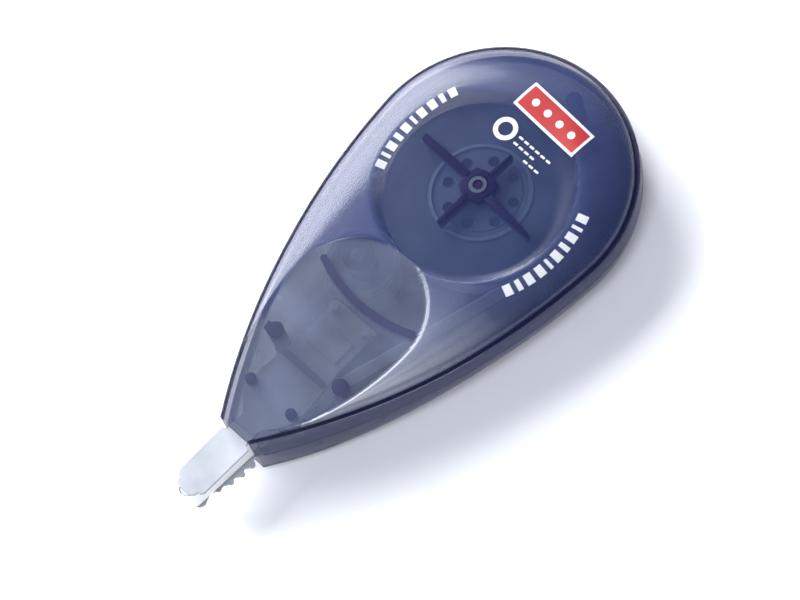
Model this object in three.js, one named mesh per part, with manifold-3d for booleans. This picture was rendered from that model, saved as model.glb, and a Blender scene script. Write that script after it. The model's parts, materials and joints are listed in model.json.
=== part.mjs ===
// Disposable correction tape roller, for use in either hand.
// Two tinted shells hold a supply reel, a geared take-up reel and a white head
// that presses the film onto the paper with a small tip roller.
// Millimetres, +Z up. The roller lies on its rear face at Z = 0. X runs from the
// round end to the tip, and the origin is under the middle of the whole length.
// Inside this file, X = Y = 0 is the supply reel's axis and Z = 0 is the joint plane.
import * as THREE from 'three';
import { mergeVertices } from 'three/addons/utils/BufferGeometryUtils.js';
import Module from 'manifold-3d';

const wasm = await Module();
wasm.setup();

// ---- Driving dimensions ----
const HALF_THICKNESS = 6.6;
const WALL = 1.2;
const GAP = 0.3; // clearance between pieces that touch
const RUN = 0.1; // radial clearance round an axle

const END_X = -3; // centre of the round end
const END_R = 21.8;
const NOSE_X = 51.3;
const NOSE_HALF = 3.4;
const SIDE_R = 105; // long side arcs
const BAND_NOSE = 4.75; // height of the upright edge band at the nose
const SLOPE_LEAST = 0.45;
const LAND_END_X = 14; // the flat land ends here and falls to the nose
const TOP_NOSE = 4.95;
const SEAM = 0.1; // half of the gap at the joint plane

// The front has a high band, a small step and a wide dome. The rear has almost no
// band and a narrower dome, so that it keeps flat land to lie on.
const FRONT = { band: 3.3, bandGrowsFrom: 24, ledge: 0.35, slope: 9.5, dishR: 16.2, dishLip: 1.2 };
const REAR = { band: 0.3, bandGrowsFrom: 14, ledge: 0.05, slope: 6.3, dishR: 15, dishLip: 0.8 };
const DISH_DEPTH = 0.5;
const DISH_BACKING_R = 15.2;
const FACET_R = 11.3; // thumb rest
const FACET_X = 26.3;
const FACET_NOSE_HALF = 2.9;
const FACET_DEPTH = 0.35;
const ARC_RIB_R = 25.2;
const ARC_RIB_HALF_ANGLE = 0.38;

const TAPE_WIDTH = 4.2;
const TAPE_THICKNESS = 0.12;
const TAPE_OFF = 0.2; // from a roller's surface to the middle of the tape
const MODULE = 0.5;
const SUPPLY_TEETH = 60;
const TAKE_UP_TEETH = 22;
const TAKE_UP_Y = -6;
const GEAR_LOW = -4.3;
const GEAR_HIGH = -3.1;
const CORE_R = 7.6;
const ROLL_R = 14.2;
const FLANGE_R = 14.8;
const AXLE_R = 1.5;
const AXLE_BORE = 0.8;
const TAKE_UP_CORE_R = 5.4;
const TAKE_UP_ROLL_R = 5.7;
const TAKE_UP_AXLE_R = 1.2;

const TIP_X = 61.9;
const TIP_R = 1.2;
const GUIDE_X = 44;
const GUIDE_R = 1.3;
const FEED_GUIDE_Y = 3.65;
const RETURN_GUIDE_Y = -1.05;
const PIN_R = 0.55;
const GUARD_HALF = 2.7; // half width of the head outside the nose
const NECK_HALF = 2.0;
const PLATE_IN = 2.3; // head plates, from the joint plane
const PLATE_OUT = 2.85;
const PEG_X = 27.6;
const PEG_Y = 3.2;
const POSTS = [[-20, 0], [36.2, 6.9], [36.2, -6.9]]; // join the two shells
const PRESS_POSTS = [[GUIDE_X, 4.1], [GUIDE_X, -4.1]]; // hold the head plates down

const centreDistance = MODULE * (SUPPLY_TEETH + TAKE_UP_TEETH) / 2;
const TAKE_UP_X = Math.sqrt(centreDistance ** 2 - TAKE_UP_Y ** 2);
const quarter = Math.PI / 2;
const backEnd = END_X - END_R;
const tipEnd = TIP_X + TIP_R + TAPE_OFF + TAPE_THICKNESS / 2;

// ---- Small tools ----
function solid(geometry) {
  const bare = geometry.clone();
  bare.deleteAttribute('normal');
  bare.deleteAttribute('uv');
  const merged = mergeVertices(bare, 1e-4);
  const vertProperties = new Float32Array(merged.attributes.position.array);
  const triVerts = new Uint32Array(merged.index.array);
  return new wasm.Manifold(new wasm.Mesh({ numProp: 3, vertProperties, triVerts }));
}

function geometryOf(manifold) {
  const mesh = manifold.getMesh();
  const geometry = new THREE.BufferGeometry();
  geometry.setAttribute('position', new THREE.BufferAttribute(new Float32Array(mesh.vertProperties), 3));
  geometry.setIndex(new THREE.BufferAttribute(new Uint32Array(mesh.triVerts), 1));
  return geometry;
}

function join(base, ...extras) {
  return extras.reduce((sum, extra) => sum.add(solid(extra)), base);
}

function cut(base, ...tools) {
  return tools.reduce((rest, tool) => rest.subtract(solid(tool)), base);
}

// Upright round bar between two heights
function bar(radius, low, high, x = 0, y = 0, sides = 24) {
  const geometry = new THREE.CylinderGeometry(radius, radius, high - low, sides);
  geometry.rotateX(Math.PI / 2);
  return geometry.translate(x, y, (low + high) / 2);
}

function block(x0, x1, y0, y1, z0, z1) {
  const geometry = new THREE.BoxGeometry(x1 - x0, y1 - y0, z1 - z0);
  return geometry.translate((x0 + x1) / 2, (y0 + y1) / 2, (z0 + z1) / 2);
}

// Ring or turned piece from a profile of [radius, height] points
function turned(profile, sides = 48, x = 0, y = 0) {
  const points = profile.map(([r, z]) => new THREE.Vector2(r, z));
  const geometry = new THREE.LatheGeometry([...points, points[0]], sides);
  geometry.rotateX(Math.PI / 2);
  return geometry.translate(x, y, 0);
}

function ring(inner, outer, low, high, sides = 48, x = 0, y = 0) {
  return turned([[inner, low], [outer, low], [outer, high], [inner, high]], sides, x, y);
}

// Flat plate from plan points [x, y]
function plate(points, low, high) {
  const shape = new THREE.Shape(points.map(([x, y]) => new THREE.Vector2(x, y)));
  const geometry = new THREE.ExtrudeGeometry(shape, { depth: high - low, bevelEnabled: false });
  return geometry.translate(0, 0, low);
}

function mirrored(halfOutline) {
  return [...halfOutline, ...halfOutline.map(([x, y]) => [x, -y]).reverse()];
}

function arcPoints(x, y, radius, from, to, steps) {
  return Array.from({ length: steps + 1 }, (_, i) => {
    const angle = from + (to - from) * i / steps;
    return [x + radius * Math.cos(angle), y + radius * Math.sin(angle)];
  });
}

// ---- Shell form ----
// Each side arc touches the round end and meets the nose's corner.
const noseDx = NOSE_X - END_X;
const noseReach = Math.hypot(noseDx, NOSE_HALF);
const arcOffset = SIDE_R - END_R;
const towardNose = (SIDE_R ** 2 - arcOffset ** 2 - noseReach ** 2) / (2 * arcOffset * noseReach);
const touchAngle = Math.atan2(NOSE_HALF, noseDx) + Math.acos(towardNose);
const arcX = END_X - arcOffset * Math.cos(touchAngle);
const arcY = -arcOffset * Math.sin(touchAngle);

// Half width of the outline at x, moved inwards by inset
function halfWidth(x, inset) {
  if (x < END_X + (END_R - inset) * Math.cos(touchAngle)) {
    return Math.sqrt(Math.max(0, (END_R - inset) ** 2 - (x - END_X) ** 2));
  }
  return Math.max(0, arcY + Math.sqrt((SIDE_R - inset) ** 2 - (x - arcX) ** 2));
}

function along(x, from) {
  return Math.min(1, Math.max(0, (x - from) / (NOSE_X - from)));
}

function bandHeight(form, x) {
  return form.band + (BAND_NOSE - form.band) * along(x, form.bandGrowsFrom) ** 1.2;
}

function topHeight(x) {
  return HALF_THICKNESS + (TOP_NOSE - HALF_THICKNESS) * along(x, LAND_END_X);
}

// The thumb rest narrows to the nose along an arc that leaves its round end squarely.
const facetDrop = FACET_R - FACET_NOSE_HALF;
const facetArcR = ((NOSE_X - FACET_X) ** 2 + facetDrop ** 2) / (2 * facetDrop);

// The dome narrows where the thumb rest comes nearer to the edge
function slopeWidth(form, x) {
  const facetHalf = FACET_R - facetArcR + Math.sqrt(facetArcR ** 2 - Math.max(0, x - FACET_X) ** 2);
  const toFacet = SIDE_R - Math.hypot(x - arcX, facetHalf - arcY);
  return Math.max(SLOPE_LEAST, Math.min(form.slope, toFacet));
}

// Closed half body: a loop of points at each level, from the joint plane up the
// band, over the dome and across the flat top.
function halfBody(form, skin, floor, noseEnd) {
  const domeSteps = 4;
  const endStations = 12;
  const stations = 26;
  const levels = [{ inset: 0, z: () => floor }, { inset: 0, z: (x) => bandHeight(form, x) - skin }];
  for (let k = 0; k <= domeSteps; k += 1) {
    const angle = k / domeSteps * Math.PI / 2;
    const share = 1 - Math.cos(angle);
    const rise = Math.sin(angle);
    levels.push({
      share,
      z: (x) => bandHeight(form, x) + (topHeight(x) - bandHeight(form, x)) * rise - skin,
    });
  }
  const positions = [];
  const insetAt = (level, x) => skin + (level.share === undefined
    ? level.inset
    : form.ledge + level.share * (slopeWidth(form, x) - form.ledge));
  for (const level of levels) {
    const endRadius = END_R - insetAt(level, backEnd);
    const touchX = END_X + endRadius * Math.cos(touchAngle);
    const row = [];
    for (let i = 0; i <= stations; i += 1) {
      const round = Math.PI + (touchAngle - Math.PI) * i / endStations;
      const x = i < endStations
        ? END_X + endRadius * Math.cos(round)
        : touchX + (noseEnd - touchX) * (i - endStations) / (stations - endStations);
      row.push([x, i === 0 ? 0 : halfWidth(x, insetAt(level, x)), level.z(x)]);
    }
    positions.push([...row, ...row.slice(1).map(([x, y, z]) => [x, -y, z]).reverse()]);
  }
  const count = positions[0].length;
  const index = [];
  for (let k = 0; k + 1 < positions.length; k += 1) {
    for (let i = 0; i < count; i += 1) {
      const next = (i + 1) % count;
      const [a, b, c, d] = [k * count + i, k * count + next, (k + 1) * count + i, (k + 1) * count + next];
      index.push(a, c, b, b, c, d);
    }
  }
  const last = (positions.length - 1) * count;
  for (let i = 0; i < stations; i += 1) {
    const [a, b] = [i, i + 1];
    const [c, d] = [(count - i) % count, count - i - 1];
    index.push(a, b, d, last + a, last + d, last + b);
    if (i > 0) {
      index.push(a, d, c, last + a, last + c, last + d);
    }
  }
  const geometry = new THREE.BufferGeometry();
  geometry.setAttribute('position', new THREE.Float32BufferAttribute(positions.flat(2), 3));
  geometry.setIndex(index);
  return geometry;
}

// Thumb rest: a round-ended outline cut to an inclined plane
function facetCutter() {
  const noseAngle = Math.asin((NOSE_X + 1 - FACET_X) / facetArcR);
  const outline = mirrored([
    ...arcPoints(FACET_X, 0, FACET_R, Math.PI, quarter, 14),
    ...arcPoints(FACET_X, FACET_R - facetArcR, facetArcR, quarter, quarter - noseAngle, 7).slice(1),
  ]);
  const geometry = plate(outline, 0, 6);
  const position = geometry.attributes.position;
  for (let i = 0; i < position.count; i += 1) {
    const slope = topHeight(position.getX(i)) - FACET_DEPTH * (1 - 0.8 * along(position.getX(i), LAND_END_X));
    position.setZ(i, position.getZ(i) > 1 ? HALF_THICKNESS + 2 : slope);
  }
  return geometry;
}

function shell(isFront) {
  const form = isFront ? FRONT : REAR;
  const inner = HALF_THICKNESS - DISH_DEPTH - WALL + 0.1; // inner face under the dish
  let body = solid(halfBody(form, 0, SEAM, NOSE_X));
  body = cut(body, halfBody(form, WALL, -1, NOSE_X - WALL));
  const under = HALF_THICKNESS - DISH_DEPTH;
  body = join(body, bar(DISH_BACKING_R, inner, under, 0, 0, 48));
  body = cut(body, turned([
    [0, under], [form.dishR - form.dishLip, under], [form.dishR, HALF_THICKNESS + 0.05],
    [form.dishR, HALF_THICKNESS + 1], [0, HALF_THICKNESS + 1],
  ], 48));
  body = cut(body, facetCutter());

  // Cross ribs and a square boss round the supply axle, shorter over the gears
  const ribEnd = isFront ? 3.5 : 4.6;
  const ribs = [
    block(-2.6, 2.6, -2.6, 2.6, ribEnd, inner + 0.3),
    block(-0.6, 0.6, -10.6, 10.6, ribEnd, inner + 0.3),
    block(-7.3, 7.3, -0.45, 0.45, ribEnd, inner + 0.3),
  ];
  body = join(body, ...ribs);

  // Curved rib under the thumb rest
  const half = ARC_RIB_HALF_ANGLE;
  const ribOutline = [
    ...arcPoints(0, 0, ARC_RIB_R + 0.5, -half, half, 8),
    ...arcPoints(0, 0, ARC_RIB_R - 0.5, half, -half, 8),
  ];
  body = join(body, plate(ribOutline, ribEnd, 5.2));

  // Seats for the take-up axle, the posts that join the shells, and the head's seat
  const side = isFront ? 1 : -1;
  const seatEnd = 4.6;
  body = join(body, bar(2.4, seatEnd, 5.4, TAKE_UP_X, TAKE_UP_Y * side));
  body = cut(body, bar(TAKE_UP_AXLE_R + RUN, 4, 5.2, TAKE_UP_X, TAKE_UP_Y * side));
  for (const [x, y] of POSTS) {
    body = join(body, bar(1.3, GAP, 4.9, x, y, 16));
    body = isFront
      ? cut(body, bar(0.85, -1, 2.2, x, y, 16))
      : join(body, bar(0.6, -1.6, 1, x, y, 16));
  }
  for (const [x, y] of PRESS_POSTS) {
    body = join(body, bar(0.9, PLATE_OUT + GAP, 4.4, x, y, 16));
  }
  body = join(body, block(37, 38, -4.5, 4.5, PLATE_OUT + GAP, 5.2));

  body = cut(body, bar(AXLE_R + 0.15, 2, 8));
  body = cut(body, block(NOSE_X - 3, NOSE_X + 1, -2.3, 2.3, -1, PLATE_OUT + 0.25));
  return geometryOf(body);
}

// ---- Gears ----
// Straight-sided teeth, a little thinner than their spaces
function gearOutline(teeth, phase) {
  const pitch = MODULE * teeth / 2;
  const [root, tip] = [pitch - 0.6, pitch + 0.4];
  const points = [];
  for (let i = 0; i < teeth; i += 1) {
    const middle = phase + i / teeth * 2 * Math.PI;
    for (const [radius, half] of [[root, -0.5], [tip, -0.17], [tip, 0.17], [root, 0.5]]) {
      const angle = middle + half / radius;
      points.push([radius * Math.cos(angle), radius * Math.sin(angle)]);
    }
  }
  return points;
}

function gear(teeth, bore, phase) {
  const wheel = solid(plate(gearOutline(teeth, phase), GEAR_LOW, GEAR_HIGH));
  return cut(wheel, bar(bore, GEAR_LOW - 1, GEAR_HIGH + 1, 0, 0, 32));
}

const meshAngle = Math.atan2(TAKE_UP_Y, TAKE_UP_X);

function supplyGear() {
  let body = gear(SUPPLY_TEETH, 3 + RUN, meshAngle);
  for (let i = 0; i < 6; i += 1) {
    const angle = i / 6 * 2 * Math.PI;
    body = cut(body, bar(2.2, GEAR_LOW - 1, GEAR_HIGH + 1, 10.4 * Math.cos(angle), 10.4 * Math.sin(angle), 16));
  }
  return geometryOf(body);
}

function takeUpGear() {
  const halfTooth = Math.PI / TAKE_UP_TEETH;
  const wheel = gear(TAKE_UP_TEETH, TAKE_UP_AXLE_R + RUN, meshAngle + Math.PI + halfTooth);
  return geometryOf(join(wheel, ring(TAKE_UP_AXLE_R + RUN, 2.2, GEAR_HIGH - 0.2, 2.2, 24)));
}

// ---- Reels ----
function supplyCore() {
  return turned([
    [AXLE_R + RUN, GEAR_LOW - 0.1], [3, GEAR_LOW - 0.1], [3, -0.6], [6.6, -0.6], [6.6, -2.3],
    [CORE_R, -2.3], [CORE_R, 2.3], [6.6, 2.3], [6.6, 0.6], [3, 0.6], [3, 3.3], [AXLE_R + RUN, 3.3],
  ], 48);
}

function supplyFlange() {
  return turned([
    [3 + RUN, 2.5], [FLANGE_R, 2.5], [FLANGE_R, 3.0], [CORE_R + 0.3, 3.0],
    [CORE_R + 0.3, 3.3], [CORE_R - 0.5, 3.3], [CORE_R - 0.5, 3.0], [3 + RUN, 3.0],
  ], 60);
}

function takeUpCore() {
  const [x, y] = [TAKE_UP_X, TAKE_UP_Y];
  return turned([
    [2.3, -0.6], [4.6, -0.6], [4.6, -2.3], [TAKE_UP_CORE_R, -2.3], [TAKE_UP_CORE_R, 2.3],
    [4.6, 2.3], [4.6, 0.6], [2.3, 0.6],
  ], 36, x, y);
}

// ---- Tape path ----
// A line that touches two circles. Each circle is { x, y, r, side }, and side is
// +1 where the tape passes on its left going forwards, and -1 on its right.
function tangent(a, b) {
  const [dx, dy] = [b.x - a.x, b.y - a.y];
  const length = Math.hypot(dx, dy);
  const lift = b.side * b.r - a.side * a.r;
  const angle = Math.atan2(dy, dx) + Math.asin(lift / length);
  const normal = [-Math.sin(angle), Math.cos(angle)];
  const touch = (c) => [c.x + c.side * c.r * normal[0], c.y + c.side * c.r * normal[1]];
  return { from: touch(a), to: touch(b), angle };
}

function ribbon(path) {
  const left = [];
  const right = [];
  path.forEach(([x, y], i) => {
    const [x0, y0] = path[Math.max(0, i - 1)];
    const [x1, y1] = path[Math.min(path.length - 1, i + 1)];
    const length = Math.hypot(x1 - x0, y1 - y0);
    const [nx, ny] = [-(y1 - y0) / length, (x1 - x0) / length];
    left.push([x + nx * TAPE_THICKNESS / 2, y + ny * TAPE_THICKNESS / 2]);
    right.push([x - nx * TAPE_THICKNESS / 2, y - ny * TAPE_THICKNESS / 2]);
  });
  return plate([...left, ...right.reverse()], -TAPE_WIDTH / 2, TAPE_WIDTH / 2);
}

const supplySide = { x: 0, y: 0, r: ROLL_R + TAPE_OFF, side: 1 };
const feedGuide = { x: GUIDE_X, y: FEED_GUIDE_Y, r: GUIDE_R + TAPE_OFF, side: -1 };
const tipSide = { x: TIP_X, y: 0, r: TIP_R + TAPE_OFF, side: 1 };
const returnGuide = { x: GUIDE_X, y: RETURN_GUIDE_Y, r: GUIDE_R + TAPE_OFF, side: 1 };
const takeUpSide = { x: TAKE_UP_X, y: TAKE_UP_Y, r: TAKE_UP_ROLL_R + TAPE_OFF, side: -1 };

function tapeFeed() {
  const first = tangent(supplySide, feedGuide);
  const second = tangent(feedGuide, tipSide);
  return ribbon([
    first.from,
    ...arcPoints(feedGuide.x, feedGuide.y, feedGuide.r, first.angle - quarter, second.angle - quarter, 4),
    ...arcPoints(TIP_X, 0, tipSide.r, second.angle + quarter, 0.02, 7),
  ]);
}

function tapeReturn() {
  const first = tangent(tipSide, returnGuide);
  const second = tangent(returnGuide, takeUpSide);
  const leaving = first.angle + quarter;
  const turn = second.angle + quarter;
  return ribbon([
    ...arcPoints(TIP_X, 0, tipSide.r, -0.06, leaving, 7),
    ...arcPoints(returnGuide.x, returnGuide.y, returnGuide.r, leaving, turn, 4),
    second.to,
  ]);
}

// ---- Head ----
function headOutline(guardEdge) {
  return mirrored([
    [PEG_X - 1.3, 4.2], [34, 4.2], [41, 5], [45.4, 5], [48.4, NECK_HALF], [NOSE_X + GAP, NECK_HALF],
    ...guardEdge,
    ...arcPoints(TIP_X - 0.4, 0.7, 1.2, quarter, 0, 4),
  ]);
}

function pinHoles(low, high) {
  return [
    bar(PIN_R + RUN, low, high, GUIDE_X, FEED_GUIDE_Y, 16),
    bar(PIN_R + RUN, low, high, GUIDE_X, RETURN_GUIDE_Y, 16),
    bar(PIN_R + RUN, low, high, TIP_X, 0, 16),
  ];
}

// Rear plate with saw-edged guard, and the blade between the two tape runs
function headFrame() {
  const teeth = 4;
  const toothPitch = 2.0;
  const edge = [[NOSE_X + 2 * GAP, GUARD_HALF]];
  for (let i = 0; i < teeth; i += 1) {
    const x = NOSE_X + 1.2 + i * toothPitch;
    const y = GUARD_HALF - 0.14 * i ** 2;
    edge.push([x, y], [x + 0.5 * toothPitch, y - 0.75], [x + 0.8 * toothPitch, y - 0.6]);
  }
  let body = solid(plate(headOutline(edge), -PLATE_OUT, -PLATE_IN));
  const blade = [
    [48.6, 1.4], [TIP_X - 1.6, 1.0], [TIP_X - 1.6, -1.0], [48.6, -1.6], [46.6, -1.3], [46.4, 1.2],
  ].reverse();
  body = join(body, plate(blade, -PLATE_IN - 0.2, PLATE_IN - RUN));
  return geometryOf(cut(body, ...pinHoles(-4, 0)));
}

// Front plate with a plain guard, a raised step and two locating pegs
function headCover() {
  const edge = [[NOSE_X + 2 * GAP, GUARD_HALF], [TIP_X - 1.8, GUARD_HALF]];
  let body = solid(plate(headOutline(edge), PLATE_IN, PLATE_OUT));
  body = join(body, block(30, 34, -3, 3, PLATE_OUT - 0.2, PLATE_OUT + 0.35));
  for (const y of [-PEG_Y, PEG_Y]) {
    body = join(body, bar(0.8, PLATE_OUT - 0.2, 4.6, PEG_X, y, 16));
  }
  return geometryOf(cut(body, ...pinHoles(0, 4)));
}

function roller(radius, x, y) {
  return ring(PIN_R + RUN, radius, -PLATE_IN + 0.15, PLATE_IN - 0.25, 24, x, y);
}

// ---- Assembly ----
const materials = {
  tintedPlastic: { color: 0x3a4a80, roughness: 0.25, metalness: 0, transparent: true, opacity: 0.8 },
  bluePlastic: { color: 0x2c3866, roughness: 0.45, metalness: 0 },
  whitePlastic: { color: 0xe8ecf2, roughness: 0.4, metalness: 0 },
  film: { color: 0xf6f6f2, roughness: 0.8, metalness: 0 },
  carrier: { color: 0xd8dde0, roughness: 0.3, metalness: 0 },
  steel: { color: 0xb0b4ba, roughness: 0.3, metalness: 1 },
};

const inner = new THREE.Group();

function add(name, geometry, look, x = 0, y = 0) {
  const mesh = new THREE.Mesh(geometry, new THREE.MeshStandardMaterial(materials[look]));
  mesh.name = name;
  mesh.position.set(x, y, 0);
  inner.add(mesh);
  return mesh;
}

add('front_shell', shell(true), 'tintedPlastic');
add('rear_shell', shell(false), 'tintedPlastic').rotation.x = Math.PI;

add('supply_axle', ring(AXLE_BORE, AXLE_R, -6.0, 6.0, 24), 'bluePlastic');
add('supply_core', supplyCore(), 'bluePlastic');
add('supply_flange', supplyFlange(), 'bluePlastic');
add('supply_tape', ring(CORE_R + 0.05, ROLL_R, -TAPE_WIDTH / 2, TAPE_WIDTH / 2, 60), 'film');
add('clutch_ring', ring(4, 6.2, -2.95, -2.5, 32), 'steel');
add('supply_gear', supplyGear(), 'bluePlastic');

add('take_up_axle', bar(TAKE_UP_AXLE_R, -5.1, 5.1), 'bluePlastic', TAKE_UP_X, TAKE_UP_Y);
add('take_up_gear', takeUpGear(), 'whitePlastic', TAKE_UP_X, TAKE_UP_Y);
add('take_up_core', takeUpCore(), 'whitePlastic');
const wound = ring(TAKE_UP_CORE_R + 0.05, TAKE_UP_ROLL_R, -TAPE_WIDTH / 2, TAPE_WIDTH / 2, 36);
add('take_up_tape', wound, 'carrier', TAKE_UP_X, TAKE_UP_Y);

add('tape_feed', tapeFeed(), 'film');
add('tape_return', tapeReturn(), 'carrier');

add('head_frame', headFrame(), 'whitePlastic');
add('head_cover', headCover(), 'whitePlastic');
const rollers = [
  ['feed_guide', GUIDE_R, GUIDE_X, FEED_GUIDE_Y],
  ['return_guide', GUIDE_R, GUIDE_X, RETURN_GUIDE_Y],
  ['tip', TIP_R, TIP_X, 0],
];
for (const [name, radius, x, y] of rollers) {
  add(`${name}_roller`, roller(radius, x, y), 'whitePlastic');
  add(`${name}_pin`, bar(PIN_R, -PLATE_OUT, PLATE_OUT, x, y, 16), 'steel');
}

const correctionTapeRoller = new THREE.Group();
inner.position.set(-(backEnd + tipEnd) / 2, 0, HALF_THICKNESS);
correctionTapeRoller.add(inner);

export default correctionTapeRoller;
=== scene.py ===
"""Correction tape roller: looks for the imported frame.

Shapes are written in millimetres from the supply reel's axis (x = y = 0) and the
joint plane between the shells (z = 0), then moved into the frame, in metres.
"""
import json
import math
from collections import namedtuple

import bpy
import numpy as np
from mathutils import Matrix, Vector


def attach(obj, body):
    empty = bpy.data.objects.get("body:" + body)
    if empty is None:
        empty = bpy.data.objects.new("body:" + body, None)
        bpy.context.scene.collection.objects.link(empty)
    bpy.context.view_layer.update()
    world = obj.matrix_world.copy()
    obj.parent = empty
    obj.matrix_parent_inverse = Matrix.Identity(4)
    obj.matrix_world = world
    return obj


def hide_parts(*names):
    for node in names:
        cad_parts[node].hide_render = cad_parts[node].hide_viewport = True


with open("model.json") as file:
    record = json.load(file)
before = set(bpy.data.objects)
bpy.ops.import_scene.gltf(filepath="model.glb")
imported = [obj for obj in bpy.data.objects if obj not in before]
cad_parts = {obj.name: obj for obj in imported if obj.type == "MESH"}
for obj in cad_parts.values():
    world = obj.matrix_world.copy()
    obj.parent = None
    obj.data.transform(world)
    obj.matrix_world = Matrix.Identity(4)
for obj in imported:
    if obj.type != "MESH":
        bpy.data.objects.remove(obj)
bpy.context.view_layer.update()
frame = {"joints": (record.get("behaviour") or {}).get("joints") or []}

MM = 0.001
joint = {j["name"]: j for j in frame["joints"]}
HUB = Vector(joint["supply_spin"]["pos_m"])


def local(joint_name):
    """A joint's place in plan, in millimetres from the supply reel's axis."""
    place = (Vector(joint[joint_name]["pos_m"]) - HUB) / MM
    return place.x, place.y


TAKE_UP = local("take_up_spin")
FEED_GUIDE = local("feed_guide_spin")
RETURN_GUIDE = local("return_guide_spin")
TIP = local("tip_spin")

# ---- Sizes shared with the frame, in millimetres ----
HALF_THICKNESS = 6.6
WALL = 1.2
END_X, END_R = -3.0, 21.8
NOSE_X, NOSE_HALF = 51.3, 3.4
SIDE_R = 105.0
BAND_NOSE = 4.75
LAND_END_X, TOP_NOSE = 14.0, 4.95
SEAM = 0.02
DISH_DEPTH = 0.5
FACET_X, FACET_R = 26.3, 11.3
FACET_NOSE_HALF = 2.9
FACET_DEPTH = 0.35
RIB_R, RIB_HALF_ANGLE = 25.2, 0.38

POSTS = ((-20.0, 0.0, 3.4), (36.2, 6.9, 5.2), (36.2, -6.9, 5.2))  # x, y and top
GUIDE_X = 44.0

Form = namedtuple("Form", "side band grows_from ledge slope dish_r lip")
FRONT = Form(1, 3.3, 24.0, 0.75, 9.5, 16.2, 1.2)
REAR = Form(-1, 0.3, 14.0, 0.05, 6.3, 15.0, 0.9)
TAPE_WIDTH = 4.2
CORE_R, ROLL_R = 7.6, 14.2
TAKE_UP_ROLL_R = 5.7
GUIDE_R, TIP_R = 1.3, 1.2
TAPE_OFF = 0.2  # from a roller to the middle of the tape
GEAR_LOW, GEAR_HIGH = -4.3, -3.1
PLATE_IN, PLATE_OUT = 2.3, 2.85


# ---- Mesh tools ----
def mesh_object(name, points, faces, materials, face_material=None, smooth_angle=35):
    """A mesh from millimetre points, moved into the frame."""
    mesh = bpy.data.meshes.new(name)
    placed = np.asarray(points, float) * MM + np.array(HUB)
    mesh.from_pydata(placed.tolist(), [], faces)
    for material in materials:
        mesh.materials.append(material)
    if face_material is not None:
        mesh.polygons.foreach_set("material_index", face_material)
    mesh.shade_smooth()
    mesh.set_sharp_from_angle(angle=math.radians(smooth_angle))
    piece = bpy.data.objects.new(name, mesh)
    bpy.context.scene.collection.objects.link(piece)
    return piece


def apply_modifiers(piece):
    depsgraph = bpy.context.evaluated_depsgraph_get()
    mesh = bpy.data.meshes.new_from_object(piece.evaluated_get(depsgraph))
    piece.modifiers.clear()
    piece.data = mesh


def rounded(piece, width, segments=2, angle=40):
    """Rounds a piece's sharp edges by width millimetres."""
    bevel = piece.modifiers.new("edges", "BEVEL")
    bevel.width = width * MM
    bevel.segments = segments
    bevel.limit_method = "ANGLE"
    bevel.angle_limit = math.radians(angle)
    bevel.use_clamp_overlap = True
    apply_modifiers(piece)
    piece.data.shade_smooth()
    piece.data.set_sharp_from_angle(angle=math.radians(35))
    return piece


def steady(piece):
    """Keeps flat faces flat-looking beside rounded edges."""
    weighted = piece.modifiers.new("steady", "WEIGHTED_NORMAL")
    weighted.keep_sharp = True
    apply_modifiers(piece)
    return piece


def cut_with(piece, *tools):
    for tool in tools:
        boolean = piece.modifiers.new("cut", "BOOLEAN")
        boolean.operation = "DIFFERENCE"
        boolean.solver = "EXACT"
        boolean.object = tool
        apply_modifiers(piece)
        bpy.data.objects.remove(tool)
    piece.data.shade_smooth()
    piece.data.set_sharp_from_angle(angle=math.radians(35))
    return piece


def turned(name, profile, material, centre=(0, 0), sides=96):
    """A turned piece from a closed profile of (radius, height)."""
    count = len(profile)
    points = []
    for i in range(sides):
        angle = 2 * math.pi * i / sides
        for radius, height in profile:
            x = centre[0] + radius * math.cos(angle)
            y = centre[1] + radius * math.sin(angle)
            points.append((x, y, height))
    faces = []
    for i in range(sides):
        for k in range(count):
            a, b = i * count + k, i * count + (k + 1) % count
            c, d = (i + 1) % sides * count + (k + 1) % count, (i + 1) % sides * count + k
            faces.append((a, d, c, b))
    return mesh_object(name, points, faces, [material])


def plate(name, outline, low, high, material):
    """A flat piece from an outline that runs anticlockwise, seen from above."""
    count = len(outline)
    points = [(x, y, low) for x, y in outline] + [(x, y, high) for x, y in outline]
    faces = [tuple(reversed(range(count))), tuple(range(count, 2 * count))]
    for i in range(count):
        k = (i + 1) % count
        faces.append((i, k, count + k, count + i))
    return mesh_object(name, points, faces, [material])


def bar(name, radius, low, high, centre, material, sides=48):
    outline = arc(centre, radius, 0, 2 * math.pi * (1 - 1 / sides), sides - 1)
    return plate(name, outline, low, high, material)


def block(name, x0, x1, y0, y1, low, high, material):
    return plate(name, [(x0, y0), (x1, y0), (x1, y1), (x0, y1)], low, high, material)


def arc(centre, radius, start, end, steps):
    angles = np.linspace(start, end, steps + 1)
    return [(centre[0] + radius * math.cos(a), centre[1] + radius * math.sin(a)) for a in angles]


def joined(name, pieces):
    """One piece from several that touch."""
    points, faces, start = [], [], 0
    materials = list(pieces[0].data.materials)
    for piece in pieces:
        points += [tuple(v.co) for v in piece.data.vertices]
        faces += [tuple(start + v for v in polygon.vertices) for polygon in piece.data.polygons]
        start = len(points)
        bpy.data.objects.remove(piece)
    local_points = (np.array(points) - np.array(HUB)) / MM
    return mesh_object(name, local_points, faces, materials)


def smoothstep(low, high, value):
    t = np.clip((value - low) / (high - low), 0, 1)
    return t * t * (3 - 2 * t)


# ---- Materials ----
def node_material(name):
    material = bpy.data.materials.new(name)
    material.use_nodes = True
    nodes, links = material.node_tree.nodes, material.node_tree.links
    return material, nodes, links, nodes["Principled BSDF"]


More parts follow.
